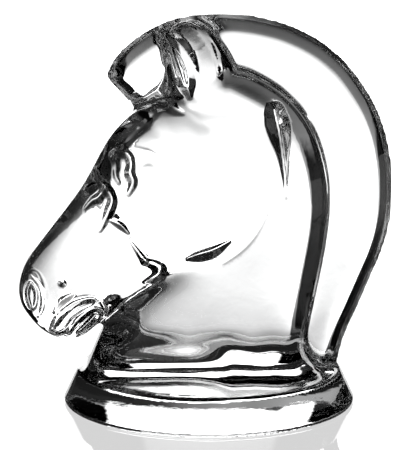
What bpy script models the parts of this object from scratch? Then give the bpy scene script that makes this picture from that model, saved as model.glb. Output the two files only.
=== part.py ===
"""Clear crystal horse head on a round foot, shaped like a chess knight and cast in one piece.

Metres, +Z up. The origin is the middle of the foot's underside. The horse looks along -X, and the two
halves of the mould part on the plane y = 0. A place of the side view is a pair (x, z) of shares of the
head's height, measured from the middle of the foot's upper edge.
"""

import math

import bmesh
import bpy
import numpy as np
from mathutils import Matrix, Vector

# Driving dimensions
FIGURE_HEIGHT = 0.1400  # ground to the top of the mane
FOOT_RADIUS = 0.0525  # at the ground
LEDGE_RADIUS = 0.0472  # at the upper edge of the foot's sloping band
FOOT_HEIGHT = 0.0122  # the height of that edge
FOOT_EDGE = 0.0008  # the bevel between the band and the underside
LEDGE_RISE = 0.0025  # the ledge climbs this much towards the neck
MANE_THICKNESS = 0.0170
MANE_DRAFT = 0.0040  # how far the mane's edge slopes in between the parting plane and each face
NECK_THICKNESS = 0.0360
CHEEK_THICKNESS = 0.0425
CHEEK_STEP = 0.0017  # how far the jaw's plate stays below the middle of the cheek
CHEEK_DRAFT = 0.0030
MUZZLE_THICKNESS = 0.0265
EAR_SPREAD = 0.0095  # from the parting plane to the middle of each ear

# How finely the forms are cast together
CASTING_VOXEL = 0.0008
CASTING_SMOOTHING = 8
CARVING_SMOOTHING = 2
CASTING_TRIANGLES = 9000
FOOT_SIDES = 96
RING_SIDES = 24

HEAD_HEIGHT = FIGURE_HEIGHT - FOOT_HEIGHT

# The neck and the mane spread at their root to suit the ledge: their own reach there, and how high it goes
ROOT_REACH = 0.369
ROOT_ZONE = 0.300

# The outer edge of the mane, from the forelock's lower corner over the crest and down to the foot
MANE_EDGE = [
    (-0.210, 0.735),
    (-0.290, 0.822),
    (-0.265, 0.873),
    (-0.204, 0.931),
    (-0.135, 0.971),
    (-0.052, 0.994),
    (0.044, 1.000),
    (0.140, 0.990),
    (0.250, 0.956),
    (0.347, 0.895),
    (0.432, 0.798),
    (0.483, 0.700),
    (0.510, 0.588),
    (0.515, 0.503),
    (0.510, 0.418),
    (0.491, 0.338),
    (0.459, 0.258),
    (0.421, 0.166),
    (0.385, 0.081),
    (0.366, 0.008),
]
# The rest of the mane's outline runs inside the neck and the head
MANE_ROOT = [(0.350, -0.050), (0.150, -0.050), (0.120, 0.300), (0.100, 0.550), (-0.050, 0.650)]

# The neck from the foot to the poll: throat side, crest side, share of the neck's thickness
NECK_STATIONS = [
    ((-0.345, -0.060), (0.318, -0.060), 1.95),
    ((-0.350, -0.010), (0.318, -0.010), 1.62),
    ((-0.343, 0.018), (0.298, 0.018), 1.34),
    ((-0.331, 0.045), (0.272, 0.045), 1.14),
    ((-0.315, 0.085), (0.262, 0.085), 1.04),
    ((-0.295, 0.125), (0.268, 0.125), 1.01),
    ((-0.255, 0.170), (0.279, 0.180), 1.00),
    ((-0.190, 0.225), (0.294, 0.255), 1.00),
    ((-0.120, 0.280), (0.309, 0.335), 1.00),
    ((-0.060, 0.350), (0.322, 0.435), 0.99),
    ((-0.030, 0.430), (0.324, 0.520), 0.98),
    ((-0.030, 0.500), (0.306, 0.615), 0.96),
    ((-0.040, 0.570), (0.272, 0.698), 0.93),
    ((-0.065, 0.630), (0.222, 0.762), 0.89),
    ((-0.110, 0.680), (0.165, 0.803), 0.85),
    ((-0.150, 0.710), (0.108, 0.832), 0.80),
    ((-0.180, 0.735), (0.055, 0.850), 0.72),
]

# The head from the jaw's corner to the lips: brow side, jaw side, place between muzzle (0) and cheek (1)
HEAD_STATIONS = [
    ((-0.060, 0.780), (0.150, 0.560), 0.63),
    ((-0.110, 0.772), (0.120, 0.430), 0.81),
    ((-0.165, 0.760), (0.050, 0.345), 0.95),
    ((-0.215, 0.728), (-0.030, 0.300), 0.97),
    ((-0.263, 0.683), (-0.095, 0.266), 0.89),
    ((-0.303, 0.618), (-0.150, 0.240), 0.68),
    ((-0.333, 0.553), (-0.200, 0.213), 0.44),
    ((-0.380, 0.486), (-0.250, 0.180), 0.20),
    ((-0.430, 0.420), (-0.292, 0.140), 0.02),
    ((-0.478, 0.357), (-0.328, 0.106), -0.06),
    ((-0.513, 0.312), (-0.362, 0.084), -0.04),
    ((-0.533, 0.262), (-0.405, 0.080), -0.06),
    ((-0.537, 0.212), (-0.450, 0.096), -0.33),
    ((-0.522, 0.170), (-0.488, 0.125), -0.91),
]

# The raised plate of the jaw: its free edge along the neck, then the part hidden in the head
CHEEK_EDGE = [
    (-0.121, 0.285),
    (-0.066, 0.294),
    (-0.011, 0.305),
    (0.044, 0.332),
    (0.098, 0.378),
    (0.136, 0.433),
    (0.160, 0.500),
    (0.168, 0.560),
    (0.158, 0.625),
    (0.130, 0.680),
    (0.080, 0.715),
    (0.010, 0.720),
]
CHEEK_ROOT = [(-0.080, 0.680), (-0.120, 0.580), (-0.130, 0.480), (-0.140, 0.380)]

# Each ear with its root: middle, half width in the side view, half depth, share of the ears' spread
EAR_STATIONS = [
    ((0.012, 0.680), 0.060, 0.030, 0.80),
    ((0.000, 0.740), 0.082, 0.052, 0.92),
    ((-0.012, 0.795), 0.088, 0.062, 1.00),
    ((-0.028, 0.854), 0.080, 0.055, 1.00),
    ((-0.056, 0.912), 0.066, 0.043, 0.94),
    ((-0.076, 0.952), 0.050, 0.028, 0.82),
    ((-0.090, 0.978), 0.026, 0.012, 0.66),
]

# Carving on both sides, in shares of the head's height: path, half width, depth (a ridge where negative)
STROKES = {
    "ear rim": ([(-0.045, 0.785), (-0.085, 0.870), (-0.125, 0.945)], 0.051, -0.0095),
    "ear hollow": ([(-0.048, 0.795), (-0.085, 0.870), (-0.118, 0.930)], 0.0235, 0.0265),
    "eye": ([(-0.195, 0.585), (-0.168, 0.592), (-0.148, 0.590)], 0.019, -0.008),
    "brow": ([(-0.225, 0.600), (-0.190, 0.628), (-0.145, 0.632), (-0.115, 0.612)], 0.017, 0.0085),
    "nostril": ([(-0.487, 0.268), (-0.494, 0.228), (-0.478, 0.188)], 0.019, 0.019),
    "nostril flare": ([(-0.452, 0.290), (-0.436, 0.240), (-0.442, 0.190)], 0.020, -0.0065),
    "upper lip": ([(-0.430, 0.118), (-0.375, 0.158), (-0.318, 0.203)], 0.020, -0.0065),
    "lower lip": ([(-0.375, 0.092), (-0.340, 0.118), (-0.300, 0.158)], 0.018, -0.0065),
    "mouth": ([(-0.402, 0.103), (-0.345, 0.142), (-0.296, 0.186)], 0.0125, 0.017),
    "chin fold": ([(-0.214, 0.379), (-0.176, 0.326), (-0.140, 0.289)], 0.0135, 0.0065),
    "cheek fold": ([(-0.249, 0.437), (-0.197, 0.407)], 0.0125, 0.005),
    "jaw crease": ([(-0.060, 0.340), (-0.003, 0.345), (0.056, 0.385)], 0.022, 0.0155),
}


def seen(x, z, y=0.0):
    """The point of space for a place of the side view, y metres from the parting plane."""
    return Vector((x * HEAD_HEIGHT, y, FOOT_HEIGHT + z * HEAD_HEIGHT))


def rooted(x, z):
    """The same for the neck and the mane, whose root spreads to suit the ledge."""
    root = min(1.0, max(0.0, 1 - z / ROOT_ZONE))
    spread = 1 + root * (LEDGE_RADIUS / (ROOT_REACH * HEAD_HEIGHT) - 1)
    return seen(x * spread, z)


def make_object(name, bm, collection):
    bmesh.ops.recalc_face_normals(bm, faces=bm.faces)
    mesh = bpy.data.meshes.new(name)
    bm.to_mesh(mesh)
    bm.free()
    obj = bpy.data.objects.new(name, mesh)
    collection.objects.link(obj)
    return obj


def baked(obj):
    """The object's evaluated mesh, with the object itself removed."""
    bpy.context.view_layer.update()
    graph = bpy.context.evaluated_depsgraph_get()
    mesh = bpy.data.meshes.new_from_object(obj.evaluated_get(graph))
    bpy.data.objects.remove(obj)
    return mesh


def soften(obj, iterations):
    smooth = obj.modifiers.new("soften", "SMOOTH")
    smooth.iterations = iterations


def squared(value, power):
    """A cosine or sine pushed towards a superellipse of that power."""
    return math.copysign(abs(value) ** (2.0 / power), value)


def skin(name, collection, rings):
    """A smooth closed body through rings of points."""
    bm = bmesh.new()
    loops = []
    for ring in rings:
        verts = bmesh.ops.create_circle(bm, segments=len(ring), radius=1.0)["verts"]
        for vert, point in zip(verts, ring):
            vert.co = point
        loops.append((verts, list({edge for vert in verts for edge in vert.link_edges})))
    for (_, low), (_, high) in zip(loops, loops[1:]):
        bmesh.ops.bridge_loops(bm, edges=low + high)
    for verts, _ in (loops[0], loops[-1]):
        bmesh.ops.contextual_create(bm, geom=verts)
    obj = make_object(name, bm, collection)
    rounding = obj.modifiers.new("rounding", "SUBSURF")
    rounding.levels = rounding.render_levels = 2
    return obj


def section(near, far, half, near_power, far_power, side_power):
    """A ring between two points of the parting plane, with its own squareness at each end and side."""
    middle = (near + far) / 2
    reach = (far - near) / 2
    ring = []
    for index in range(RING_SIDES):
        turn = 2 * math.pi * (index + 0.5) / RING_SIDES
        along = squared(math.cos(turn), far_power if math.cos(turn) > 0 else near_power)
        across = squared(math.sin(turn), side_power) * half
        ring.append(middle + reach * along + Vector((0, across, 0)))
    return ring


def plate(name, collection, outline, corners, thickness, draft):
    """A flat slab whose edge slopes from the parting plane to both faces."""
    curve = bpy.data.curves.new(name, "CURVE")
    curve.dimensions = "2D"
    curve.fill_mode = "BOTH"
    curve.resolution_u = 8
    curve.bevel_depth = draft
    curve.bevel_resolution = 0
    curve.offset = -draft
    spline = curve.splines.new("BEZIER")
    spline.bezier_points.add(len(outline) - 1)
    for index, (point, spot) in enumerate(zip(spline.bezier_points, outline)):
        point.co = (spot.x, spot.z, 0)
        kind = "VECTOR" if index in corners else "AUTO"
        point.handle_left_type = point.handle_right_type = kind
    spline.use_cyclic_u = True
    flat = bpy.data.objects.new(name, curve)
    collection.objects.link(flat)
    mesh = baked(flat)
    thicken = Matrix.Scale(thickness / (2 * draft), 4, (0, 0, 1))
    mesh.transform(Matrix.Rotation(math.pi / 2, 4, "X") @ thicken)
    bm = bmesh.new()
    bm.from_mesh(mesh)
    bmesh.ops.remove_doubles(bm, verts=bm.verts, dist=1e-5)
    return make_object(name, bm, collection)


def mane(collection):
    """The mane, with sharp corners at the forelock and where it enters the foot."""
    outline = [rooted(*place) for place in MANE_EDGE + MANE_ROOT]
    foot_end = len(MANE_EDGE) - 1
    corners = [0, 1, foot_end, foot_end + 1, foot_end + 2]
    return plate("mane", collection, outline, corners, MANE_THICKNESS, MANE_DRAFT)


def neck(collection):
    half = NECK_THICKNESS / 2
    rings = []
    for throat, crest, share in NECK_STATIONS:
        rings.append(section(rooted(*throat), rooted(*crest), half * share, 2.2, 4.5, 2.6))
    return skin("neck", collection, rings)


def head(collection):
    rings = []
    for brow, jaw, place in HEAD_STATIONS:
        thickness = MUZZLE_THICKNESS + place * (CHEEK_THICKNESS - MUZZLE_THICKNESS)
        rings.append(section(seen(*brow), seen(*jaw), thickness / 2, 2.4, 2.6, 2.4))
    return skin("head", collection, rings)


def cheek(collection):
    """The round plate of the jaw, which stands a little proud of the neck."""
    outline = [seen(*place) for place in CHEEK_EDGE + CHEEK_ROOT]
    return plate("cheek", collection, outline, [], CHEEK_THICKNESS - 2 * CHEEK_STEP, CHEEK_DRAFT)


def ear(side, collection):
    """One ear, which rises out of the poll and leans on the mane."""
    rings = []
    for index, (place, wide, deep, spread) in enumerate(EAR_STATIONS):
        before = EAR_STATIONS[max(index - 1, 0)][0]
        after = EAR_STATIONS[min(index + 1, len(EAR_STATIONS) - 1)][0]
        rise = (seen(*after) - seen(*before)).normalized()
        width = Vector((rise.z, 0, -rise.x)) * (wide * HEAD_HEIGHT)
        middle = seen(*place, side * spread * EAR_SPREAD)
        rings.append(section(middle - width, middle + width, deep * HEAD_HEIGHT, 2, 2, 2))
    return skin("ear", collection, rings)


def foot(collection):
    """The round foot, turned from its profile."""
    rise = [(0.00, 1.0), (0.55, 0.8), (0.92, 0.2)]
    profile = [(share * LEDGE_RADIUS, FOOT_HEIGHT + climb * LEDGE_RISE) for share, climb in rise]
    profile += [(LEDGE_RADIUS, FOOT_HEIGHT), (FOOT_RADIUS, FOOT_EDGE), (FOOT_RADIUS - FOOT_EDGE, 0), (0, 0)]
    bm = bmesh.new()
    verts = [bm.verts.new((radius, 0, height)) for radius, height in profile]
    for above, below in zip(verts, verts[1:]):
        bm.edges.new((above, below))
    mesh = bpy.data.meshes.new("foot")
    bm.to_mesh(mesh)
    bm.free()
    obj = bpy.data.objects.new("foot", mesh)
    collection.objects.link(obj)
    turning = obj.modifiers.new("turning", "SCREW")
    turning.axis = "Z"
    turning.steps = turning.render_steps = FOOT_SIDES
    turning.use_merge_vertices = True
    turning.merge_threshold = 0.00005
    obj.display_type = "WIRE"
    obj.hide_render = True
    return obj


def eased(path):
    """The path with its corners cut twice, so that a stroke bends softly."""
    for _ in range(2):
        cut = [path[0]]
        for start, end in zip(path, path[1:]):
            cut += [start.lerp(end, 0.25), start.lerp(end, 0.75)]
        path = cut + [path[-1]]
    return path


def carve(mesh, path, width, depth):
    """Presses a soft groove, or with a negative depth a ridge, into both sides along a path."""
    points = np.empty(len(mesh.vertices) * 3)
    mesh.vertices.foreach_get("co", points)
    points = points.reshape(-1, 3)
    side_view = points[:, [0, 2]]
    corners = [np.array((spot.x, spot.z)) for spot in eased([seen(*place) for place in path])]
    gap = np.full(len(points), np.inf)
    for start, end in zip(corners, corners[1:]):
        step = end - start
        along = np.clip((side_view - start) @ step / (step @ step), 0, 1)
        gap = np.minimum(gap, np.linalg.norm(side_view - start - along[:, None] * step, axis=1))
    share = np.clip(gap / (width * HEAD_HEIGHT), 0, 1)
    amount = depth * HEAD_HEIGHT * (1 + np.cos(math.pi * share)) / 2
    points[:, 1] -= np.sign(points[:, 1]) * np.minimum(amount, np.abs(points[:, 1]))
    mesh.vertices.foreach_set("co", points.ravel())


def cast(forms, collection):
    """The forms fused into one soft skin, carved, thinned out and cut flat inside the foot."""
    bm = bmesh.new()
    for form in forms:
        bm.from_mesh(baked(form))
    casting = make_object("casting", bm, collection)
    fuse = casting.modifiers.new("fuse", "REMESH")
    fuse.mode = "VOXEL"
    fuse.voxel_size = CASTING_VOXEL
    soften(casting, CASTING_SMOOTHING)
    carved = baked(casting)
    for path, width, depth in STROKES.values():
        carve(carved, path, width, depth)
    casting = bpy.data.objects.new("casting", carved)
    collection.objects.link(casting)
    soften(casting, CARVING_SMOOTHING)
    thin = casting.modifiers.new("thin", "DECIMATE")
    thin.ratio = CASTING_TRIANGLES / (2 * len(carved.polygons))
    bm = bmesh.new()
    bm.from_mesh(baked(casting))
    geometry = [*bm.verts, *bm.edges, *bm.faces]
    inside_foot = Vector((0, 0, FOOT_HEIGHT / 2))
    bmesh.ops.bisect_plane(bm, geom=geometry, plane_co=inside_foot, plane_no=(0, 0, 1), clear_inner=True)
    bmesh.ops.holes_fill(bm, edges=[edge for edge in bm.edges if edge.is_boundary])
    return bm


def crystal():
    material = bpy.data.materials.new("clear crystal")
    material.use_nodes = True
    shader = material.node_tree.nodes["Principled BSDF"]
    shader.inputs["Base Color"].default_value = (0.96, 0.97, 0.98, 1.0)
    shader.inputs["Roughness"].default_value = 0.02
    shader.inputs["IOR"].default_value = 1.52
    shader.inputs["Transmission Weight"].default_value = 1.0
    return material


def main():
    for obj in list(bpy.data.objects):
        bpy.data.objects.remove(obj)
    moulds = bpy.data.collections.new("moulds")
    figure = bpy.data.collections.new("crystal horse head")
    for collection in (moulds, figure):
        bpy.context.scene.collection.children.link(collection)
    forms = [mane(moulds), neck(moulds), head(moulds), cheek(moulds), ear(1, moulds), ear(-1, moulds)]
    horse = make_object("horse_head", cast(forms, moulds), figure)
    join = horse.modifiers.new("foot", "BOOLEAN")
    join.operation = "UNION"
    join.solver = "EXACT"
    join.object = foot(moulds)
    horse.data.materials.append(crystal())
    horse.data.shade_smooth()


main()
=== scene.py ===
"""The looks of the crystal horse head: one clear casting on a pale table, lit from behind."""

import math

import bmesh
import bpy
import numpy as np
from mathutils import Matrix, Vector, noise


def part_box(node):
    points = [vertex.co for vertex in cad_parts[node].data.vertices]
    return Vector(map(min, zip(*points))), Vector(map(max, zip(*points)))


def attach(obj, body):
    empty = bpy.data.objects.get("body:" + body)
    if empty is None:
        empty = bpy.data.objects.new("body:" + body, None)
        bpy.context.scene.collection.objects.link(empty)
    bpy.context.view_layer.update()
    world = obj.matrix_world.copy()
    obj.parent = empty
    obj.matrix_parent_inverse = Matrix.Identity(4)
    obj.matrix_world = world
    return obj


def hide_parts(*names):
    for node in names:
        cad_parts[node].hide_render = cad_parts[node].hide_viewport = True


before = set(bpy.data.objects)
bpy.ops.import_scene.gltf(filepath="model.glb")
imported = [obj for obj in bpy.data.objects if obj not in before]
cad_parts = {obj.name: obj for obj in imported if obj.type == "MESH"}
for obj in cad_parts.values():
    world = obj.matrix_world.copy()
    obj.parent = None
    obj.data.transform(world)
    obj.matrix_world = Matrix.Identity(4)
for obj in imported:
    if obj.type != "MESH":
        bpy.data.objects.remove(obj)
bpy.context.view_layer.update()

# Sizes of the casting, in metres. The draft of a plate is the width of its sloping edge, and the
# cheek's plate stands back by a step from the head's full width.
FOOT_HEIGHT = 0.0122
LEDGE_RADIUS = 0.0472
LEDGE_RISE = 0.0004
FOOT_EDGE = 0.0008
MANE_THICKNESS = 0.0170
MANE_DRAFT = 0.0062
NECK_THICKNESS = 0.0360
CHEEK_THICKNESS = 0.0425
CHEEK_STEP = 0.0023
CHEEK_DRAFT = 0.0030
MUZZLE_THICKNESS = 0.0265
EAR_SPREAD = 0.0095

low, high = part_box("horse_head")
FOOT_RADIUS = high.y
HEAD_HEIGHT = high.z - FOOT_HEIGHT

# How finely the casting is skinned, and how often each step of its making is smoothed
SKIN_VOXEL = 0.00100
SKIN_SMOOTHING = 5
PARING_SMOOTHING = 4
MARK_SMOOTHING = 2
FOOT_SIDES = 192
RING_SIDES = 24
RING_LEVELS = 3
OUTLINE_STEPS = 16
SEAM = 1e-5

# How square the sections are at their start, at their end and on their sides: 2 is round
NECK_CORNERS = (5.0, 8.0, 4.0)
HEAD_CORNERS = (5.0, 2.8, 3.6)
EAR_CORNERS = (2.0, 2.0, 2.0)

# The ledge: share of its radius, and share of its rise
LEDGE_PROFILE = [(0.00, 1.0), (0.55, 0.8), (0.92, 0.2)]

# Places in the side view are shares of the height from the ledge to the top of the mane: right
# of the foot's middle, and above the ledge. The mane goes from the forelock over the top and down
# to the foot, and its root is hidden in the neck.
MANE_EDGE = [
    (-0.210, 0.735),
    (-0.290, 0.822),
    (-0.265, 0.873),
    (-0.204, 0.931),
    (-0.135, 0.971),
    (-0.052, 0.994),
    (0.044, 1.000),
    (0.140, 0.990),
    (0.250, 0.956),
    (0.347, 0.895),
    (0.432, 0.798),
    (0.483, 0.700),
    (0.510, 0.588),
    (0.515, 0.503),
    (0.510, 0.418),
    (0.491, 0.338),
    (0.459, 0.258),
    (0.421, 0.166),
    (0.385, 0.081),
    (0.366, 0.008),
]
MANE_ROOT = [(0.350, -0.050), (0.150, -0.050), (0.120, 0.300), (0.100, 0.550), (-0.050, 0.650)]

# The neck's sections: its throat, its crest, and a share of its thickness
NECK_STATIONS = [
    ((-0.345, -0.060), (0.318, -0.060), 1.95),
    ((-0.350, -0.010), (0.318, -0.010), 1.70),
    ((-0.346, 0.010), (0.306, 0.010), 1.34),
    ((-0.338, 0.028), (0.288, 0.028), 1.11),
    ((-0.331, 0.045), (0.272, 0.045), 1.03),
    ((-0.315, 0.085), (0.262, 0.085), 1.00),
    ((-0.295, 0.125), (0.268, 0.125), 1.00),
    ((-0.255, 0.170), (0.279, 0.180), 1.00),
    ((-0.190, 0.225), (0.294, 0.255), 1.00),
    ((-0.120, 0.280), (0.309, 0.335), 1.00),
    ((-0.060, 0.350), (0.322, 0.435), 0.99),
    ((-0.030, 0.430), (0.324, 0.520), 1.00),
    ((-0.030, 0.500), (0.306, 0.615), 1.00),
    ((-0.040, 0.570), (0.272, 0.698), 1.00),
    ((-0.065, 0.630), (0.222, 0.762), 1.00),
    ((-0.110, 0.680), (0.165, 0.803), 1.00),
    ((-0.150, 0.710), (0.108, 0.832), 0.98),
    ((-0.180, 0.735), (0.055, 0.850), 0.90),
]

# The head's sections: brow, jaw, and thickness from the muzzle's, 0, to the cheek's, 1
HEAD_STATIONS = [
    ((-0.060, 0.780), (0.150, 0.560), 0.63),
    ((-0.110, 0.772), (0.120, 0.430), 0.81),
    ((-0.165, 0.760), (0.050, 0.345), 0.95),
    ((-0.215, 0.728), (-0.030, 0.300), 0.97),
    ((-0.263, 0.683), (-0.095, 0.266), 0.89),
    ((-0.303, 0.618), (-0.150, 0.240), 0.68),
    ((-0.333, 0.553), (-0.200, 0.213), 0.44),
    ((-0.380, 0.486), (-0.250, 0.180), 0.20),
    ((-0.430, 0.420), (-0.292, 0.140), 0.02),
    ((-0.478, 0.357), (-0.328, 0.106), -0.06),
    ((-0.513, 0.312), (-0.362, 0.084), -0.04),
    ((-0.533, 0.262), (-0.405, 0.080), -0.06),
    ((-0.537, 0.212), (-0.450, 0.096), -0.33),
    ((-0.522, 0.170), (-0.488, 0.125), -0.91),
]

# The cheek's free edge, and the part of its outline that is hidden in the head
CHEEK_EDGE = [
    (-0.121, 0.285),
    (-0.066, 0.294),
    (-0.011, 0.305),
    (0.044, 0.332),
    (0.098, 0.378),
    (0.136, 0.433),
    (0.160, 0.500),
    (0.168, 0.560),
    (0.158, 0.625),
    (0.130, 0.680),
    (0.080, 0.715),
    (0.010, 0.720),
]
CHEEK_ROOT = [(-0.080, 0.680), (-0.120, 0.580), (-0.130, 0.480), (-0.140, 0.380)]

# The ear's sections: middle, half width, half depth, and share of the spread
EAR_STATIONS = [
    ((0.012, 0.680), 0.060, 0.030, 0.80),
    ((0.000, 0.740), 0.082, 0.052, 0.92),
    ((-0.012, 0.795), 0.088, 0.062, 1.00),
    ((-0.028, 0.854), 0.080, 0.055, 1.00),
    ((-0.056, 0.912), 0.066, 0.043, 0.94),
    ((-0.076, 0.952), 0.050, 0.028, 0.82),
    ((-0.090, 0.978), 0.026, 0.012, 0.66),
]

# The ridges of neck and head
CREST_LINE = [
    (0.052, 0.853),
    (0.112, 0.831),
    (0.167, 0.801),
    (0.222, 0.760),
    (0.271, 0.696),
    (0.305, 0.613),
    (0.323, 0.515),
    (0.321, 0.431),
    (0.305, 0.332),
    (0.287, 0.233),
    (0.265, 0.119),
    (0.262, 0.060),
]
FOREHEAD_LINE = [(-0.205, 0.738), (-0.247, 0.706), (-0.284, 0.658), (-0.309, 0.610), (-0.333, 0.553)]
BRIDGE_LINE = [(-0.333, 0.553), (-0.380, 0.486), (-0.430, 0.420), (-0.478, 0.357), (-0.510, 0.315)]
THROAT_LINE = [(-0.255, 0.170), (-0.295, 0.125), (-0.315, 0.085), (-0.331, 0.045)]

# The outer rims that are pared to a slope: line, face (-1 near, 1 far, 0 both), edge, slope
PARINGS = [
    (CREST_LINE, 0, 0.0108, 1.10),
    (FOREHEAD_LINE, 0, 0.0060, 1.70),
    (BRIDGE_LINE, -1, 0.0070, 1.60),
    (BRIDGE_LINE, 1, 0.0050, 1.60),
    (THROAT_LINE, -1, 0.0060, 1.30),
    (THROAT_LINE, 1, 0.0040, 1.10),
]

# How far round the cheek's edge the skin is melted, how far out from the parting plane it must
# lie for that, and how many times it is smoothed
CHEEK_MELT = 0.0060
MELT_SIDE = 0.0120
MELT_ROUNDS = 14

# Below this height over the foot the parings open out into the neck's root
PARING_END = 0.012
ROOT_SPREAD = 8.0

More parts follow.
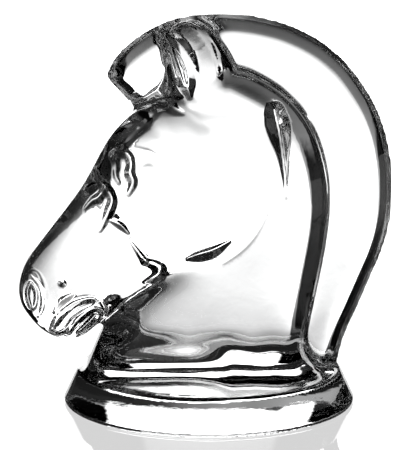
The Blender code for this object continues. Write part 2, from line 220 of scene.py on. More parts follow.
# Marks cut in the mould: a path, a half width for each of its points, and how deep the mark goes
# in the near face and in the far one, all as shares of the same height. A ridge has a depth
# under zero.
STROKES = {
    "ear rim": (
        [(-0.047, 0.765), (-0.056, 0.795), (-0.066, 0.835),
         (-0.083, 0.880), (-0.106, 0.922), (-0.128, 0.950)],
        [0.022, 0.046, 0.058, 0.054, 0.040, 0.018],
        -0.0085, -0.0085,
    ),
    "ear hollow": (
        [(-0.052, 0.785), (-0.059, 0.805), (-0.068, 0.838),
         (-0.083, 0.880), (-0.104, 0.918), (-0.122, 0.940)],
        [0.012, 0.028, 0.035, 0.031, 0.022, 0.008],
        0.0300, 0.0300,
    ),
    "ear rib": (
        [(-0.062, 0.812), (-0.070, 0.845), (-0.084, 0.882), (-0.098, 0.908)],
        [0.008, 0.014, 0.012, 0.006],
        -0.0130, -0.0130,
    ),
    "ear flank": (
        [(0.011, 0.926), (0.030, 0.885), (0.042, 0.838), (0.050, 0.780)],
        [0.006, 0.016, 0.018, 0.006],
        0.0110, 0.0110,
    ),
    "cheek line": (
        [(0.163, 0.640), (0.170, 0.590), (0.172, 0.542), (0.167, 0.492), (0.151, 0.442), (0.123, 0.392),
         (0.088, 0.354), (0.040, 0.322)],
        [0.004, 0.005, 0.006, 0.006, 0.006, 0.006, 0.005, 0.004],
        0.0052, 0.0,
    ),
    "eye": (
        [(-0.183, 0.588), (-0.164, 0.595), (-0.145, 0.586)],
        [0.006, 0.015, 0.006],
        -0.0045, -0.0045,
    ),
    "brow": (
        [(-0.207, 0.650), (-0.169, 0.648), (-0.132, 0.626), (-0.108, 0.596)],
        [0.020, 0.030, 0.028, 0.016],
        0.0030, 0.0030,
    ),
    "temple": (
        [(-0.128, 0.765), (-0.147, 0.737), (-0.172, 0.706),
         (-0.205, 0.672), (-0.238, 0.640), (-0.263, 0.616)],
        [0.020, 0.012, 0.014, 0.009, 0.012, 0.014],
        0.0110, 0.0050,
    ),
    "socket": (
        [(-0.263, 0.617), (-0.243, 0.634), (-0.219, 0.625), (-0.211, 0.598), (-0.218, 0.573),
         (-0.204, 0.551), (-0.220, 0.517)],
        [0.012, 0.015, 0.017, 0.013, 0.018, 0.016, 0.008],
        0.0210, 0.0030,
    ),
    "socket fold": (
        [(-0.263, 0.616), (-0.252, 0.596), (-0.258, 0.570), (-0.246, 0.548)],
        [0.011, 0.014, 0.010, 0.007],
        0.0160, 0.0025,
    ),
    "face vein": (
        [(-0.315, 0.574), (-0.302, 0.549), (-0.284, 0.530),
         (-0.262, 0.502), (-0.274, 0.466), (-0.300, 0.410)],
        [0.008, 0.013, 0.020, 0.014, 0.017, 0.006],
        0.0230, 0.0030,
    ),
    "side vein": (
        [(-0.284, 0.530), (-0.305, 0.500), (-0.322, 0.494), (-0.342, 0.470)],
        [0.010, 0.017, 0.012, 0.006],
        0.0200, 0.0020,
    ),
    "cheek fold": (
        [(-0.268, 0.440), (-0.244, 0.430), (-0.222, 0.408)],
        [0.007, 0.014, 0.006],
        0.0150, 0.0050,
    ),
    "chin fold": (
        [(-0.214, 0.381), (-0.195, 0.353), (-0.177, 0.326)],
        [0.005, 0.011, 0.014],
        0.0150, 0.0060,
    ),
    "chin hook": (
        [(-0.176, 0.325), (-0.154, 0.319), (-0.135, 0.305),
         (-0.138, 0.283), (-0.157, 0.271), (-0.178, 0.264)],
        [0.014, 0.019, 0.024, 0.022, 0.018, 0.009],
        0.0250, 0.0100,
    ),
    "jaw mark": (
        [(-0.060, 0.336), (-0.030, 0.343), (0.012, 0.354), (0.056, 0.384)],
        [0.007, 0.018, 0.019, 0.006],
        0.0360, 0.0,
    ),
    "nostril rim": (
        [(-0.494, 0.272), (-0.488, 0.222), (-0.478, 0.182)],
        [0.022, 0.036, 0.024],
        -0.0060, -0.0060,
    ),
    "nostril": (
        [(-0.495, 0.258), (-0.481, 0.241), (-0.479, 0.215), (-0.485, 0.187), (-0.496, 0.184),
         (-0.504, 0.207), (-0.506, 0.235), (-0.495, 0.258)],
        [0.008, 0.008, 0.008, 0.008, 0.008, 0.008, 0.008, 0.008],
        0.0100, 0.0040,
    ),
    "nostril wing": (
        [(-0.494, 0.278), (-0.470, 0.252), (-0.460, 0.213), (-0.465, 0.178), (-0.477, 0.161)],
        [0.004, 0.007, 0.008, 0.008, 0.005],
        0.0065, 0.0030,
    ),
    "seed": (
        [(-0.408, 0.258), (-0.406, 0.258)],
        [0.0120, 0.0120],
        0.0170, 0.0,
    ),
    "upper lip": (
        [(-0.428, 0.124), (-0.402, 0.158), (-0.362, 0.186), (-0.313, 0.200)],
        [0.020, 0.023, 0.020, 0.012],
        -0.0070, -0.0070,
    ),
    "upper lip loop": (
        [(-0.439, 0.120), (-0.422, 0.157), (-0.394, 0.186), (-0.360, 0.206), (-0.318, 0.215),
         (-0.313, 0.195), (-0.349, 0.178), (-0.380, 0.152), (-0.400, 0.120), (-0.423, 0.109),
         (-0.439, 0.120)],
        [0.010, 0.015, 0.014, 0.010, 0.008, 0.007, 0.008, 0.009, 0.010, 0.010, 0.010],
        0.0270, 0.0030,
    ),
    "upper lip edge": (
        [(-0.430, 0.175), (-0.416, 0.198), (-0.399, 0.212), (-0.376, 0.228)],
        [0.007, 0.014, 0.015, 0.005],
        0.0300, 0.0020,
    ),
    "lip end": (
        [(-0.424, 0.124), (-0.420, 0.127)],
        [0.006, 0.006],
        0.0060, 0.0030,
    ),
    "lower lip": (
        [(-0.386, 0.108), (-0.350, 0.134), (-0.310, 0.164)],
        [0.018, 0.026, 0.020],
        -0.0070, -0.0070,
    ),
    "lower lip loop": (
        [(-0.392, 0.113), (-0.372, 0.144), (-0.344, 0.170), (-0.313, 0.184), (-0.294, 0.167),
         (-0.302, 0.138), (-0.331, 0.113), (-0.364, 0.098)],
        [0.008, 0.010, 0.010, 0.011, 0.013, 0.010, 0.008, 0.008],
        0.0240, 0.0030,
    ),
    "lower lip core": (
        [(-0.366, 0.113), (-0.340, 0.135), (-0.316, 0.160)],
        [0.008, 0.014, 0.014],
        0.0260, 0.0050,
    ),
    "chin spot": (
        [(-0.299, 0.202), (-0.289, 0.179), (-0.294, 0.155)],
        [0.005, 0.011, 0.007],
        0.0110, 0.0040,
    ),
    "crest lock": (
        [(0.178, 0.738), (0.187, 0.706), (0.194, 0.668), (0.200, 0.626), (0.207, 0.570), (0.211, 0.505)],
        [0.030, 0.037, 0.031, 0.016, 0.009, 0.004],
        0.0530, 0.0,
    ),
    "crest wisp": (
        [(0.262, 0.690), (0.260, 0.635), (0.269, 0.575), (0.284, 0.523), (0.295, 0.483)],
        [0.016, 0.014, 0.018, 0.020, 0.010],
        0.0, 0.0200,
    ),
    "poll edge": (
        [(-0.212, 0.758), (-0.185, 0.765), (-0.150, 0.782), (-0.128, 0.812), (-0.120, 0.850)],
        [0.020, 0.030, 0.034, 0.026, 0.010],
        0.0240, 0.0240,
    ),
    "poll lock": (
        [(-0.128, 0.775), (-0.101, 0.750), (-0.072, 0.738)],
        [0.022, 0.020, 0.008],
        0.0150, 0.0060,
    ),
}

# The marks whose skin is split finer before they are cut, once for each list they are in
FINE_MARKS = [
    ["ear hollow", "cheek line", "temple", "socket", "socket fold", "face vein", "side vein",
     "cheek fold", "chin fold", "chin hook", "jaw mark", "nostril wing", "nostril", "seed",
     "upper lip loop", "upper lip edge", "lower lip loop", "chin spot", "crest lock", "crest wisp",
     "poll lock", "poll edge", "eye"],
    ["cheek fold", "chin fold", "jaw mark", "nostril", "nostril wing", "seed", "upper lip loop",
     "upper lip edge", "lower lip loop", "lower lip core", "chin spot"],
]
# How far round a mark the skin is split, as a share, and how far a face must look sideways for it
FINE_MARGIN = 0.003
FINE_FACING = 0.15

# Where the neck's root wavers: place along the foot, and how far the root reaches out there, in
# metres, for the near face and for the far one
ROOT_REACH_NEAR = [(-0.30, -0.003), (-0.20, -0.005), (-0.10, -0.006), (-0.03, -0.005), (0.02, -0.001),
                   (0.06, 0.005), (0.13, 0.003), (0.18, 0.005), (0.25, 0.002)]
ROOT_REACH_FAR = [(-0.30, 0.005), (-0.20, 0.006), (-0.12, 0.004), (-0.06, 0.000), (0.00, 0.002),
                  (0.05, 0.004), (0.12, 0.000), (0.18, 0.002), (0.25, -0.002)]
# The wavering dies out at this height over the foot, and starts this far under the ledge
ROOT_RISE = 0.011
ROOT_SUNK = 0.0015
# It starts this far from the parting plane, grows over this width, and fades this near the rim
ROOT_SIDE = 0.012
ROOT_GROWTH = 0.006
ROOT_RIM = 0.008

# How near the foot's turned profile a point counts as part of it
RIM_ROOM = 0.0012

# Long low waves left by fire polishing. They start at this many foot heights, and each face takes
# its own waves from a place this far to its side.
WAVE_LENGTH = 0.017
WAVE_HEIGHT = 0.00022
WAVE_START = 1.3
WAVE_SIDE = 0.3

# The glass: how strongly it bends light, and how often light may pass through its skin
GLASS_BEND = 1.53
GLASS_PASSES = 10
RIPPLES = {"Scale": 110.0, "Detail": 2.0, "Distortion": 0.8}
RIPPLE_STRENGTH = 0.12
RIPPLE_HEIGHT = 0.0004
TINT = (0.985, 0.992, 0.996, 1)
TINT_SCALE = 25.0
DULL_SCALE = 60.0
DULL_START = 0.60
DULL_FULL = 0.80
DULL_ROUGHNESS = 0.004

# The table top, a hair under the foot
TABLE_HALF = 20.0
TABLE_DROP = 0.0002

# How brightly the table lights the glass at each distance from the middle of the foot, in metres
TABLE_REACH = 0.5
TABLE_LIGHT = [
    (0.000, 0.012),
    (0.095, 0.015),
    (0.135, 0.05),
    (0.170, 0.12),
    (0.380, 0.50),
]

# How bright the table itself looks, how it shines, and how dull it is seen from above
TABLE_SEEN = 0.66
TABLE_SHINE = 1.45
TABLE_ROUGHNESS = 0.03
DULLNESS = 0.034

# The light that creeps in under the foot: from its front, and from its right
FRONT_LIGHT = 0.9
FRONT_REACH = 0.050
FRONT_DEPTH = 0.022
FRONT_FADE = 0.004
UNDER_REACH = 0.036
UNDER_LEFT = 0.01
UNDER_RIGHT = 0.40
UNDER_FADE = 0.016
REACH_FADE = 0.002

# The window behind the figurine and the dark flags beside it, in degrees from straight behind
FLAG_START = 19.5
FLAG_END = 60.0
WINDOW_TOP = 28.0
WINDOW_LIGHT = 3.1
EDGE_SOFT = 3.0
# Where on the table the flags' shade starts and where it is full, from the middle of the foot
SHADE_START = 0.12
SHADE_FULL = 0.16

# The camera stands straight beside the figurine and looks down a little
CAMERA_DISTANCE = 0.760
CAMERA_TARGET = (-0.0016, 0, 0.0637)
CAMERA_ELEVATION = math.radians(10.72)
CAMERA_LENS = 169.57
CAMERA_SENSOR = 36


def seen(x, z, y=0.0):
    """The point of space for a place of the side view, y metres from the parting plane."""
    return Vector((x * HEAD_HEIGHT, y, FOOT_HEIGHT + z * HEAD_HEIGHT))


def make_object(name, bm):
    """A linked object of the bmesh, with its faces turned outwards."""
    bmesh.ops.recalc_face_normals(bm, faces=bm.faces)
    mesh = bpy.data.meshes.new(name)
    bm.to_mesh(mesh)
    bm.free()
    obj = bpy.data.objects.new(name, mesh)
    bpy.context.scene.collection.objects.link(obj)
    return obj


def opened(mesh):
    """A bmesh of the mesh."""
    bm = bmesh.new()
    bm.from_mesh(mesh)
    return bm


def baked(obj):
    """The mesh that the object's modifiers give. The object itself goes."""
    bpy.context.view_layer.update()
    graph = bpy.context.evaluated_depsgraph_get()
    mesh = bpy.data.meshes.new_from_object(obj.evaluated_get(graph))
    bpy.data.objects.remove(obj)
    return mesh


def soften(obj, iterations):
    """Smooths the object this many times."""
    smooth = obj.modifiers.new("soften", "SMOOTH")
    smooth.iterations = iterations


def squared(value, power):
    """A sine or cosine pushed out from a circle towards a square."""
    return math.copysign(abs(value) ** (2.0 / power), value)


def section(start, end, half, corners):
    """A closed ring that runs from start to end and reaches half to each side."""
    start_power, end_power, side_power = corners
    middle = (start + end) / 2
    reach = (end - start) / 2
    ring = []
    for index in range(RING_SIDES):
        turn = 2 * math.pi * (index + 0.5) / RING_SIDES
        along = squared(math.cos(turn), end_power if math.cos(turn) > 0 else start_power)
        across = squared(math.sin(turn), side_power) * half
        ring.append(middle + reach * along + Vector((0, across, 0)))
    return ring


def skin(name, rings):
    """A closed skin over the rings, rounded by subdivision."""
    bm = bmesh.new()
    loops = []
    for ring in rings:
        verts = bmesh.ops.create_circle(bm, segments=len(ring), radius=1.0)["verts"]
        for vert, point in zip(verts, ring):
            vert.co = point
        loops.append((verts, list({edge for vert in verts for edge in vert.link_edges})))
    for (_, lower), (_, upper) in zip(loops, loops[1:]):
        bmesh.ops.bridge_loops(bm, edges=lower + upper)
    for verts, _ in (loops[0], loops[-1]):
        bmesh.ops.contextual_create(bm, geom=verts)
    obj = make_object(name, bm)
    rounding = obj.modifiers.new("rounding", "SUBSURF")
    rounding.levels = rounding.render_levels = RING_LEVELS
    return obj


def plate(name, outline, corners, thickness, draft):
    """An upright plate with sloping edges. Its outline is smooth but for the numbered corners."""
    curve = bpy.data.curves.new(name, "CURVE")
    curve.dimensions = "2D"
    curve.fill_mode = "BOTH"
    curve.resolution_u = OUTLINE_STEPS
    curve.bevel_depth = draft
    curve.bevel_resolution = 0
    curve.offset = -draft
    spline = curve.splines.new("BEZIER")
    spline.bezier_points.add(len(outline) - 1)
    for index, (point, spot) in enumerate(zip(spline.bezier_points, outline)):
        point.co = (spot.x, spot.z, 0)
        kind = "VECTOR" if index in corners else "AUTO"
        point.handle_left_type = point.handle_right_type = kind
    spline.use_cyclic_u = True
    flat = bpy.data.objects.new(name, curve)
    bpy.context.scene.collection.objects.link(flat)
    mesh = baked(flat)
    thicken = Matrix.Scale(thickness / (2 * draft), 4, (0, 0, 1))
    mesh.transform(Matrix.Rotation(math.pi / 2, 4, "X") @ thicken)
    bm = opened(mesh)
    bmesh.ops.remove_doubles(bm, verts=bm.verts, dist=SEAM)
    return make_object(name, bm)


def mane():
    """The crested mane, from the forelock over the top and down to the foot."""
    outline = [seen(*place) for place in MANE_EDGE + MANE_ROOT]
    foot_end = len(MANE_EDGE) - 1
    corners = [0, 1, foot_end, foot_end + 1, foot_end + 2]
    return plate("mane", outline, corners, MANE_THICKNESS, MANE_DRAFT)


def neck():
    """The neck, from inside the foot up to the poll."""
    rings = []
    for throat, crest, share in NECK_STATIONS:
        rings.append(section(seen(*throat), seen(*crest), NECK_THICKNESS / 2 * share, NECK_CORNERS))
    return skin("neck", rings)


def head():
    """The head, from inside the neck down to the muzzle."""
    rings = []
    for brow, jaw, place in HEAD_STATIONS:
        thickness = MUZZLE_THICKNESS + place * (CHEEK_THICKNESS - MUZZLE_THICKNESS)
        rings.append(section(seen(*brow), seen(*jaw), thickness / 2, HEAD_CORNERS))
    return skin("head", rings)


def cheek():
    """The flat round of the jaw, which stands out from the neck."""
    outline = [seen(*place) for place in CHEEK_EDGE + CHEEK_ROOT]
    return plate("cheek", outline, [], CHEEK_THICKNESS - 2 * CHEEK_STEP, CHEEK_DRAFT)


def ear(side):
    """The ear on one side: 1 far, -1 near."""
    rings = []
    for index, (place, wide, deep, spread) in enumerate(EAR_STATIONS):
        before = EAR_STATIONS[max(index - 1, 0)][0]
        after = EAR_STATIONS[min(index + 1, len(EAR_STATIONS) - 1)][0]
        rise = (seen(*after) - seen(*before)).normalized()
        width = Vector((rise.z, 0, -rise.x)) * (wide * HEAD_HEIGHT)
        middle = seen(*place, side * spread * EAR_SPREAD)
        rings.append(section(middle - width, middle + width, deep * HEAD_HEIGHT, EAR_CORNERS))
    return skin("ear", rings)


def foot():
    """The foot, turned from the middle of its ledge out to the rim, down and back in."""
    profile = [(share * LEDGE_RADIUS, FOOT_HEIGHT + climb * LEDGE_RISE) for share, climb in LEDGE_PROFILE]
    profile += [(LEDGE_RADIUS, FOOT_HEIGHT), (FOOT_RADIUS, FOOT_EDGE)]
    profile += [(FOOT_RADIUS - FOOT_EDGE, 0), (0, 0)]
    bm = bmesh.new()
    verts = [bm.verts.new((radius, 0, height)) for radius, height in profile]
    for above, below in zip(verts, verts[1:]):
        bm.edges.new((above, below))
    bmesh.ops.spin(bm, geom=[*bm.verts, *bm.edges], cent=(0, 0, 0), axis=(0, 0, 1),
                   angle=2 * math.pi, steps=FOOT_SIDES, use_merge=True)
    bmesh.ops.remove_doubles(bm, verts=bm.verts, dist=SEAM)
    return make_object("foot", bm)


def fused():
    """All the forms under one skin."""
    bm = bmesh.new()
    for form in [mane(), neck(), head(), cheek(), ear(1), ear(-1), foot()]:
        bm.from_mesh(baked(form))
    body = make_object("casting", bm)
    fuse = body.modifiers.new("fuse", "REMESH")
    fuse.mode = "VOXEL"
    fuse.voxel_size = SKIN_VOXEL
    soften(body, SKIN_SMOOTHING)
    return baked(body)


def eased(path):
    """The path with its corners cut twice."""
    for _ in range(2):
        cut = [path[0]]
        for start, end in zip(path, path[1:]):
            cut += [start.lerp(end, 0.25), start.lerp(end, 0.75)]
        path = cut + [path[-1]]
    return path


def reach(points, path, widths=None):
    """The distance in the side view from each point to the path, and the path's width there."""
    spots = eased([seen(*place) for place in path])
    if widths:
        widths = [share.x for share in eased([Vector((width, 0, 0)) for width in widths])]
    else:
        widths = [0.0] * len(spots)
    side_view = points[:, [0, 2]]
    gap = np.full(len(points), np.inf)
    room = np.zeros(len(points))
    for start, end, begin, finish in zip(spots, spots[1:], widths, widths[1:]):
        origin = np.array((start.x, start.z))
        step = np.array((end.x, end.z)) - origin
        along = np.clip((side_view - origin) @ step / (step @ step), 0, 1)
        away = np.linalg.norm(side_view - origin - along[:, None] * step, axis=1)
        nearer = away < gap
        gap[nearer] = away[nearer]
        room[nearer] = (begin + (finish - begin) * along[nearer]) * HEAD_HEIGHT
    return gap, room


def reshape(mesh, *steps):
    """Moves the mesh's points by one step after the other."""
    points = np.empty(len(mesh.vertices) * 3)
    mesh.vertices.foreach_get("co", points)
    points = points.reshape(-1, 3)
    for step in steps:
        step(points)
    mesh.vertices.foreach_set("co", points.ravel())


def pare_rims(points):
    """Slopes the faces down to thin edges along the outer rims."""
    below = np.maximum(FOOT_HEIGHT + PARING_END - points[:, 2], 0)
    for path, face, edge, slope in PARINGS:
        gap, _ = reach(points, path)
        limit = edge + slope * gap + ROOT_SPREAD * below
        if face <= 0:
            points[:, 1] = np.maximum(points[:, 1], -limit)
        if face >= 0:
            points[:, 1] = np.minimum(points[:, 1], limit)


def waver_root(points):
    """Lets the neck's root run out on the ledge in a wavering line."""
    for face, line in ((-1, ROOT_REACH_NEAR), (1, ROOT_REACH_FAR)):
        spots = [place * HEAD_HEIGHT for place, _ in line]
        shift = np.interp(points[:, 0], spots, [out for _, out in line])
        climb = np.clip((points[:, 2] - FOOT_HEIGHT) / ROOT_RISE, 0, 1)
        side = np.clip((face * points[:, 1] - ROOT_SIDE) / ROOT_GROWTH, 0, 1)
        rim = np.clip((LEDGE_RADIUS - np.hypot(points[:, 0], points[:, 1])) / ROOT_RIM, 0, 1)
        above = points[:, 2] > FOOT_HEIGHT - ROOT_SUNK
        points[:, 1] += face * shift * (1 - climb) * side * rim * above


def wave_faces(points):
    """Lets both faces swell and sink a little."""
    for point in points:
        side = math.copysign(1.0, point[1])
        spot = Vector((point[0], WAVE_SIDE * side, point[2])) / WAVE_LENGTH
        rise = min(max(point[2] / FOOT_HEIGHT - WAVE_START, 0), 1)
        point[1] += side * rise * WAVE_HEIGHT * noise.noise(spot)


def cut_marks(points):
    """Sinks each mark's groove into the faces, or raises its ridge."""
    for path, widths, near, far in STROKES.values():
        gap, room = reach(points, path, widths)
        share = np.clip(gap / room, 0, 1)
        depth = np.where(points[:, 1] < 0, near, far) * HEAD_HEIGHT * room / room.max()
        amount = depth * np.where(depth > 0, 1 - share, (1 + np.cos(math.pi * share)) / 2)
        points[:, 1] -= np.sign(points[:, 1]) * np.minimum(amount, np.abs(points[:, 1]))


def true_foot(points):
    """Puts the foot's outer skin back on its turned profile."""
    away = np.hypot(points[:, 0], points[:, 1])
    heights = [0, FOOT_EDGE, FOOT_HEIGHT]
    band = np.interp(points[:, 2], heights, [FOOT_RADIUS - FOOT_EDGE, FOOT_RADIUS, LEDGE_RADIUS])
    outer = (points[:, 2] < FOOT_HEIGHT - RIM_ROOM / 2) & (away > band - RIM_ROOM)
    points[outer, :2] *= (band[outer] / away[outer])[:, None]
    points[:, 2] = np.where(points[:, 2] < RIM_ROOM / 3, 0, points[:, 2])


def melt(bm, path, room):
    """Melts the edge along the path into the faces beside it."""
    places = np.array([vert.co for vert in bm.verts])
    gap, _ = reach(places, path)
    chosen = [vert for vert, away, place in zip(bm.verts, gap, places)
              if away < room and abs(place[1]) > MELT_SIDE]
    for _ in range(MELT_ROUNDS):
        bmesh.ops.smooth_vert(bm, verts=chosen, factor=0.5,
                              use_axis_x=True, use_axis_y=True, use_axis_z=True)


def split(mesh, marks):
    """Splits the skin finer round the named marks."""
    centres = np.empty(len(mesh.polygons) * 3)
    normals = np.empty(len(mesh.polygons) * 3)
    mesh.polygons.foreach_get("center", centres)
    mesh.polygons.foreach_get("normal", normals)
    centres = centres.reshape(-1, 3)
    sideways = np.abs(normals.reshape(-1, 3)[:, 1]) > FINE_FACING
    chosen = np.zeros(len(centres), bool)
    for name in marks:
        path, widths = STROKES[name][:2]
        gap, room = reach(centres, path, widths)
        chosen |= sideways & (gap < room + FINE_MARGIN * HEAD_HEIGHT)
    bm = opened(mesh)
    bm.faces.ensure_lookup_table()
    edges = {edge for index in np.flatnonzero(chosen) for edge in bm.faces[index].edges}
    bmesh.ops.subdivide_edges(bm, edges=list(edges), cuts=1, use_grid_fill=True)
    return bm


def casting():
    """The horse head: fused, pared, split finer, marked, and trued up at the foot."""
    mesh = fused()
    reshape(mesh, pare_rims, waver_root, wave_faces)
    bm = opened(mesh)
    melt(bm, CHEEK_EDGE, CHEEK_MELT)
    for marks in FINE_MARKS:
        pared = make_object("pared", bm)
        soften(pared, PARING_SMOOTHING)
        bm = split(baked(pared), marks)
    marked = make_object("marked", bm)
    reshape(marked.data, cut_marks)
    soften(marked, MARK_SMOOTHING)
    mesh = baked(marked)
    reshape(mesh, true_foot)
    horse = make_object("crystal_horse", opened(mesh))
    horse.data.shade_smooth()
    return horse


class Board:
    """A node tree that takes its nodes one call at a time."""

    def __init__(self, tree):
        self.tree = tree

    def node(self, kind, settings=None, sockets=None):
        """Adds a node, sets it up, and gives its sockets their values or links."""
        made = self.tree.nodes.new(kind)
        for name, value in (settings or {}).items():
            setattr(made, name, value)
        for name, value in (sockets or {}).items():
            self.feed(made.inputs[name], value)
        return made

    def feed(self, socket, value):
        if isinstance(value, Term):
            value = value.socket
        if isinstance(value, bpy.types.NodeSocket):
            self.tree.links.new(value, socket)
        else:
            socket.default_value = value

    def term(self, kind, settings=None, sockets=None, output=0):
        return Term(self, self.node(kind, settings, sockets).outputs[output])


class Term:
    """A socket in a sum: each operator adds its Math node."""

    def __init__(self, board, socket):
        self.board = board
        self.socket = socket

    def maths(self, operation, *values):
        return self.board.term("ShaderNodeMath", {"operation": operation}, dict(enumerate(values)))

    def __add__(self, other):
        return self.maths("ADD", self, other)

    def __sub__(self, other):
        return self.maths("SUBTRACT", self, other)

    def __rsub__(self, other):
        return self.maths("SUBTRACT", other, self)

    def __mul__(self, other):
        return self.maths("MULTIPLY", self, other)

    def __truediv__(self, other):
        return self.maths("DIVIDE", self, other)

    def __abs__(self):
        return self.maths("ABSOLUTE", self)

    __radd__ = __add__
    __rmul__ = __mul__

    def ramp(self, start, end):
        """0 before start, 1 after end, eased in between."""
        settings = {"interpolation_type": "SMOOTHSTEP"}
        sockets = {"Value": self, "From Min": start, "From Max": end}
        return self.board.term("ShaderNodeMapRange", settings, sockets)


def crystal():
    """Clear glass with faint ripples, a drifting tint and slightly dull patches."""
    material = bpy.data.materials.new("clear crystal")
    material.use_nodes = True
    board = Board(material.node_tree)
    shader = material.node_tree.nodes["Principled BSDF"]
    shader.inputs["IOR"].default_value = GLASS_BEND
    shader.inputs["Transmission Weight"].default_value = 1.0
    spot = board.node("ShaderNodeTexCoord").outputs["Object"]
    # faint cords and ripples left in the skin where the hot glass met the mould
    ripple = board.term("ShaderNodeTexNoise", None, {"Vector": spot, **RIPPLES})
    sockets = {"Strength": RIPPLE_STRENGTH, "Distance": RIPPLE_HEIGHT, "Height": ripple}
    bump = board.node("ShaderNodeBump", None, sockets)
    board.feed(shader.inputs["Normal"], bump.outputs["Normal"])
    # a trace of tint that drifts through the melt
    drift = board.term("ShaderNodeTexNoise", None, {"Vector": spot, "Scale": TINT_SCALE})
    tint = board.node("ShaderNodeMix", {"data_type": "RGBA"}, {0: drift, 6: TINT, 7: (1, 1, 1, 1)})
    board.feed(shader.inputs["Base Color"], tint.outputs[2])
    # handling leaves the skin a very little duller in places
    patches = board.term("ShaderNodeTexNoise", None, {"Vector": spot, "Scale": DULL_SCALE})
    board.feed(shader.inputs["Roughness"], patches.ramp(DULL_START, DULL_FULL) * DULL_ROUGHNESS)
    return material


def glow(board, strength):
    """A plain even light."""
    return board.node("ShaderNodeEmission", None, {"Strength": strength}).outputs[0]


def mixed(board, share, first, second):
    """The first shader where share is 0, the second where it is 1."""
    return board.node("ShaderNodeMixShader", None, {0: share, 1: first, 2: second}).outputs[0]


def looked_at(board):
    """1 where the camera sees a surface itself, 0 where the glass or the polish shows it."""
    return board.term("ShaderNodeLightPath", None, None, "Is Camera Ray")


def heading(board, place):
    """How far a direction turns from straight behind the figurine, in degrees."""
    across = Term(board, place.outputs["X"])
    turn = across.maths("ARCTAN2", across, Term(board, place.outputs["Y"]))
    return abs(turn) * (180 / math.pi)


def past(turn, edge):
    """0 on this side of an edge of the studio, 1 beyond it."""
    return turn.ramp(edge - EDGE_SOFT / 2, edge + EDGE_SOFT / 2)


def pool(board, away):
    """The table's light at a distance from the foot."""
    ramp = board.node("ShaderNodeValToRGB", None, {0: away / TABLE_REACH})
    stops = ramp.color_ramp.elements
    for distance, _ in TABLE_LIGHT[2:]:
        stops.new(distance / TABLE_REACH)
    for stop, (distance, light) in zip(stops, TABLE_LIGHT):
        stop.position = distance / TABLE_REACH
        stop.color = (light, light, light, 1)
    return Term(board, ramp.outputs[0])


def table_light(board):
    """How brightly each spot of the table lights the glass."""
    spot = board.node("ShaderNodeTexCoord").outputs["Object"]
    place = board.node("ShaderNodeSeparateXYZ", None, {0: spot})
    along = Term(board, place.outputs["X"])
    depth = Term(board, place.outputs["Y"])
    away = board.term("ShaderNodeVectorMath", {"operation": "LENGTH"}, {0: spot}, "Value")
    turn = heading(board, place)
    beside = past(turn, FLAG_START) * (1 - past(turn, FLAG_END))
    shade = beside * away.ramp(SHADE_START, SHADE_FULL)
    before = 1 - depth.ramp(-FRONT_DEPTH, FRONT_FADE - FRONT_DEPTH)
    front = (1 - away.ramp(FRONT_REACH - REACH_FADE, FRONT_REACH)) * before
    creep = UNDER_LEFT + (UNDER_RIGHT - UNDER_LEFT) * along.ramp(-UNDER_FADE, UNDER_FADE)
    under = (1 - away.ramp(UNDER_REACH - REACH_FADE, UNDER_REACH)) * creep
    return pool(board, away) * (1 - shade) + front * FRONT_LIGHT + under


def table():
    """A pale table that lights the glass little near the foot and more further off."""
    bm = bmesh.new()
    bmesh.ops.create_grid(bm, x_segments=1, y_segments=1, size=TABLE_HALF)
    bmesh.ops.translate(bm, verts=bm.verts, vec=(0, 0, -TABLE_DROP))
    floor = make_object("table", bm)
    material = bpy.data.materials.new("pale table")
    material.use_nodes = True
    tree = material.node_tree
    tree.nodes.clear()
    board = Board(tree)
    dark = glow(board, 0.0)
    lit = mixed(board, table_light(board), dark, glow(board, 1.0))
    light = mixed(board, looked_at(board), lit, glow(board, TABLE_SEEN))
    sockets = {"Color": (1, 1, 1, 1), "Roughness": TABLE_ROUGHNESS}
    gloss = board.node("ShaderNodeBsdfGlossy", None, sockets).outputs[0]
    shine = board.term("ShaderNodeFresnel", None, {"IOR": TABLE_SHINE}) - DULLNESS
    polish = mixed(board, shine, dark, gloss)
    surface = board.node("ShaderNodeAddShader", None, {0: light, 1: polish}).outputs[0]
    board.node("ShaderNodeOutputMaterial", None, {"Surface": surface})
    floor.data.materials.append(material)


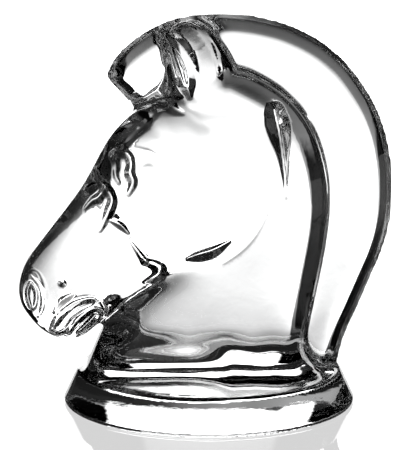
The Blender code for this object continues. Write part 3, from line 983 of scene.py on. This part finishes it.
def studio():
    """A window behind the figurine in a dark room. The camera itself sees white."""
    world = bpy.data.worlds.new("studio")
    bpy.context.scene.world = world
    world.use_nodes = True
    tree = world.node_tree
    tree.nodes.clear()
    board = Board(tree)
    lights = {}
    for name, strength in [("dark", 0.0), ("window", WINDOW_LIGHT), ("white", 1.0)]:
        sockets = {"Color": (1, 1, 1, 1), "Strength": strength}
        lights[name] = board.node("ShaderNodeBackground", None, sockets).outputs[0]
    direction = board.node("ShaderNodeTexCoord").outputs["Generated"]
    place = board.node("ShaderNodeSeparateXYZ", None, {0: direction})
    low_edge = math.sin(math.radians(WINDOW_TOP - EDGE_SOFT))
    high_edge = math.sin(math.radians(WINDOW_TOP + EDGE_SOFT))
    under_top = 1 - Term(board, place.outputs["Z"]).ramp(low_edge, high_edge)
    window = under_top * (1 - past(heading(board, place), FLAG_START))
    lit = mixed(board, window, lights["dark"], lights["window"])
    seen_light = mixed(board, looked_at(board), lit, lights["white"])
    board.node("ShaderNodeOutputWorld", None, {"Surface": seen_light})


def camera():
    """The camera at the photograph's angle."""
    data = bpy.data.cameras.new("camera")
    obj = bpy.data.objects.new("camera", data)
    bpy.context.scene.collection.objects.link(obj)
    bpy.context.scene.camera = obj
    back = Vector((0, -math.cos(CAMERA_ELEVATION), math.sin(CAMERA_ELEVATION)))
    obj.location = Vector(CAMERA_TARGET) + back * CAMERA_DISTANCE
    obj.rotation_euler = (-back).to_track_quat("-Z", "Y").to_euler()
    data.sensor_width = CAMERA_SENSOR
    data.lens = CAMERA_LENS
    data.clip_start = 0.01
    data.clip_end = 100


def light_paths():
    """Lets light pass through the glass as often as it has to, and cuts none of it off."""
    settings = bpy.context.scene.cycles
    settings.max_bounces = GLASS_PASSES
    settings.transmission_bounces = GLASS_PASSES
    settings.glossy_bounces = GLASS_PASSES
    settings.caustics_refractive = True
    settings.caustics_reflective = True
    settings.blur_glossy = 0.0
    settings.sample_clamp_indirect = 0


horse = casting()
horse.data.materials.append(crystal())
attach(horse, "root")
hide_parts("horse_head")
table()
studio()
camera()
light_paths()
bpy.context.scene.view_settings.view_transform = "Standard"
